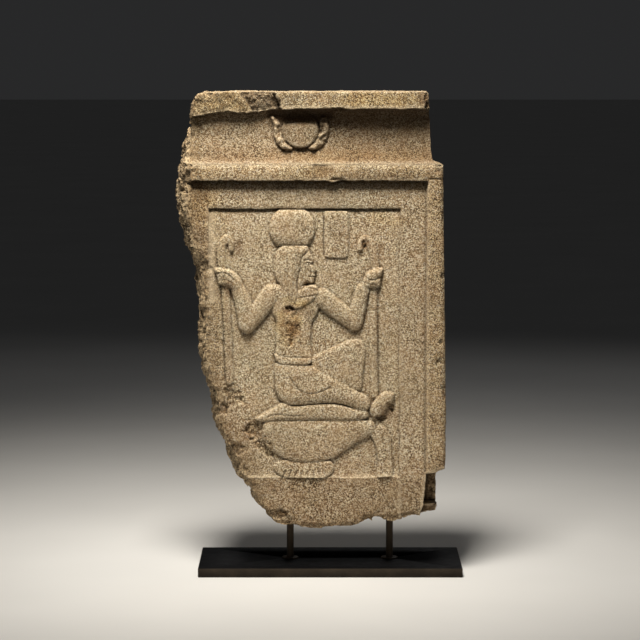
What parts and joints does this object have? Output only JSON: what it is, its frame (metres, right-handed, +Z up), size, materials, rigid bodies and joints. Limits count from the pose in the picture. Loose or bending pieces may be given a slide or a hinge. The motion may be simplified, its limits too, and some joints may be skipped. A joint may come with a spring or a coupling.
{
  "type": "carved stone stele",
  "caption": "Shrine-shaped stone stele fragment with a kneeling figure in low relief, held on upright rods over a flat metal plate.",
  "frame": {"origin": "middle of the plate's underside, on the surface that the object stands on", "axes": "+Z up, the carved face towards -Y, +X to the right seen from the front"},
  "size_m": [0.4036, 0.16, 0.6793],
  "materials": {
    "stone": "coarse-grained warm beige granite-like stone, matt, pecked and weathered",
    "mount_metal": "dark bronze-brown patinated metal, satin"
  },
  "bodies": {
    "root": {"stele": "stone", "base_plate": "mount_metal", "rod_left": "mount_metal", "rod_right": "mount_metal"}
  },
  "joints": []
}
